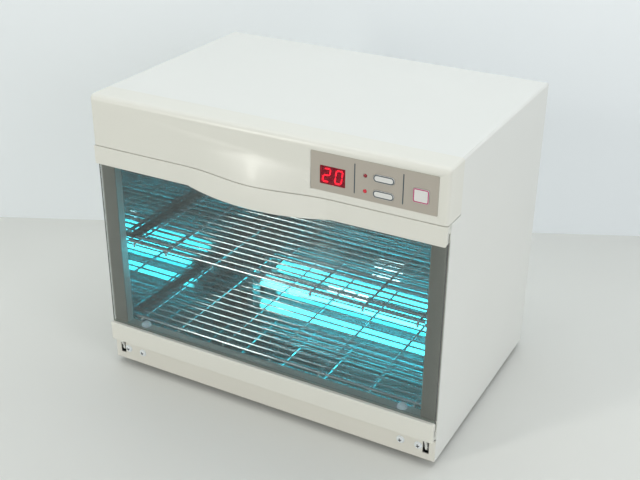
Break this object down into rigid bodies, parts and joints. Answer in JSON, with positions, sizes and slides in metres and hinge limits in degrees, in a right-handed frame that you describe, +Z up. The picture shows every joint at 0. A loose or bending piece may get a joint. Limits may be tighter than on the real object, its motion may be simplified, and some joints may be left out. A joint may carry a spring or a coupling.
{
  "type": "ultraviolet sterilizer",
  "caption": "Tabletop ultraviolet sterilizer: cream cabinet, drop-down tinted acrylic door, keypad and display above, wire racks and a lamp in a mirror-steel chamber",
  "frame": {"origin": "middle of the bounding box in X and Y, at the surface the feet stand on", "axes": "+X to the right seen from the front, +Y towards the back, +Z up; the door faces -Y"},
  "size_m": [0.44, 0.3134, 0.362],
  "materials": {
    "painted_steel": "powder-coated cream, semi-gloss",
    "cream_plastic": "moulded cream plastic, satin",
    "tinted_acrylic": "clear smoke-blue tinted acrylic sheet",
    "mirror_steel": "polished stainless steel, nearly a mirror",
    "chrome_wire": "chrome-plated wire",
    "lamp_glass": "clear quartz-like tube, glows cyan when lit",
    "cap_aluminium": "spun aluminium cap",
    "holder_plastic": "white moulded plastic",
    "panel_film": "taupe-grey printed film",
    "display_filter": "deep red display filter",
    "led_red": "red lens",
    "key_white": "white moulded key",
    "board_green": "green solder mask on a glass-fibre board",
    "black_plastic": "black moulded plastic",
    "zinc_steel": "zinc-plated steel",
    "white_screw": "white-lacquered steel screw",
    "black_rubber": "black rubber",
    "white_rubber": "translucent white silicone"
  },
  "bodies": {
    "cabinet": {"outer_cover": "painted_steel", "rear_panel": "painted_steel", "front_frame": "painted_steel", "base_skirt": "painted_steel", "fascia": "cream_plastic", "chamber_liner": "mirror_steel", "rack_ledge_upper_left": "mirror_steel", "rack_ledge_upper_right": "mirror_steel", "rack_ledge_lower_left": "mirror_steel", "rack_ledge_lower_right": "mirror_steel", "lamp_tube": "lamp_glass", "lamp_cap_left": "cap_aluminium", "lamp_cap_right": "cap_aluminium", "lampholder_left": "holder_plastic", "lampholder_right": "holder_plastic", "control_panel_plate": "panel_film", "display_window": "display_filter", "mode_led_upper": "led_red", "mode_led_lower": "led_red", "control_board": "board_green", "display_module": "black_plastic", "mode_key_upper_switch": "black_plastic", "mode_key_lower_switch": "black_plastic", "power_key_switch": "black_plastic", "power_inlet": "black_plastic", "magnet_catch_left": "black_plastic", "magnet_catch_right": "black_plastic", "door_sensor": "black_plastic", "base_pan": "zinc_steel", "ballast": "zinc_steel", "hinge_bracket_left": "zinc_steel", "hinge_bracket_right": "zinc_steel", "hinge_pin_left": "zinc_steel", "hinge_pin_right": "zinc_steel", "skirt_screw_left_inner": "white_screw", "skirt_screw_left_outer": "white_screw", "skirt_screw_right_inner": "white_screw", "skirt_screw_right_outer": "white_screw", "foot_front_left": "black_rubber", "foot_front_right": "black_rubber", "foot_rear_left": "black_rubber", "foot_rear_right": "black_rubber", "sill_bumper_left": "white_rubber", "sill_bumper_right": "white_rubber"},
    "door": {"door_panel": "tinted_acrylic", "door_top_rail": "cream_plastic", "door_bottom_rail": "cream_plastic", "hinge_tongue_left": "zinc_steel", "hinge_tongue_right": "zinc_steel", "strike_plate_left": "zinc_steel", "strike_plate_right": "zinc_steel"},
    "upper_rack": {"upper_rack": "chrome_wire"},
    "lower_rack": {"lower_rack": "chrome_wire"},
    "mode_key_upper": {"mode_key_upper": "key_white"},
    "mode_key_lower": {"mode_key_lower": "key_white"},
    "power_key": {"power_key": "key_white"}
  },
  "joints": [
    {"name": "door_hinge", "type": "hinge", "parent": "cabinet", "child": "door", "pos_m": [0, -0.13025, 0.0225], "axis": [1, 0, 0], "range_deg": [0, 88]},
    {"name": "upper_rack_slide", "type": "slide", "parent": "cabinet", "child": "upper_rack", "axis": [0, -1, 0], "range_m": [0, 0.1545]},
    {"name": "lower_rack_lift", "type": "slide", "parent": "cabinet", "child": "lower_rack", "axis": [0, 0, 1], "range_m": [0, 0.008]},
    {"name": "mode_key_upper_press", "type": "slide", "parent": "cabinet", "child": "mode_key_upper", "axis": [0, 1, 0], "range_m": [0, 0.0005], "stiffness_N_per_m": 400},
    {"name": "mode_key_lower_press", "type": "slide", "parent": "cabinet", "child": "mode_key_lower", "axis": [0, 1, 0], "range_m": [0, 0.0005], "stiffness_N_per_m": 400},
    {"name": "power_key_press", "type": "slide", "parent": "cabinet", "child": "power_key", "axis": [0, 1, 0], "range_m": [0, 0.0005], "stiffness_N_per_m": 400}
  ],
  "couplings": [
    {"joint": "upper_rack_slide", "follows": "door_hinge", "m_per_rad": 0.1}
  ]
}
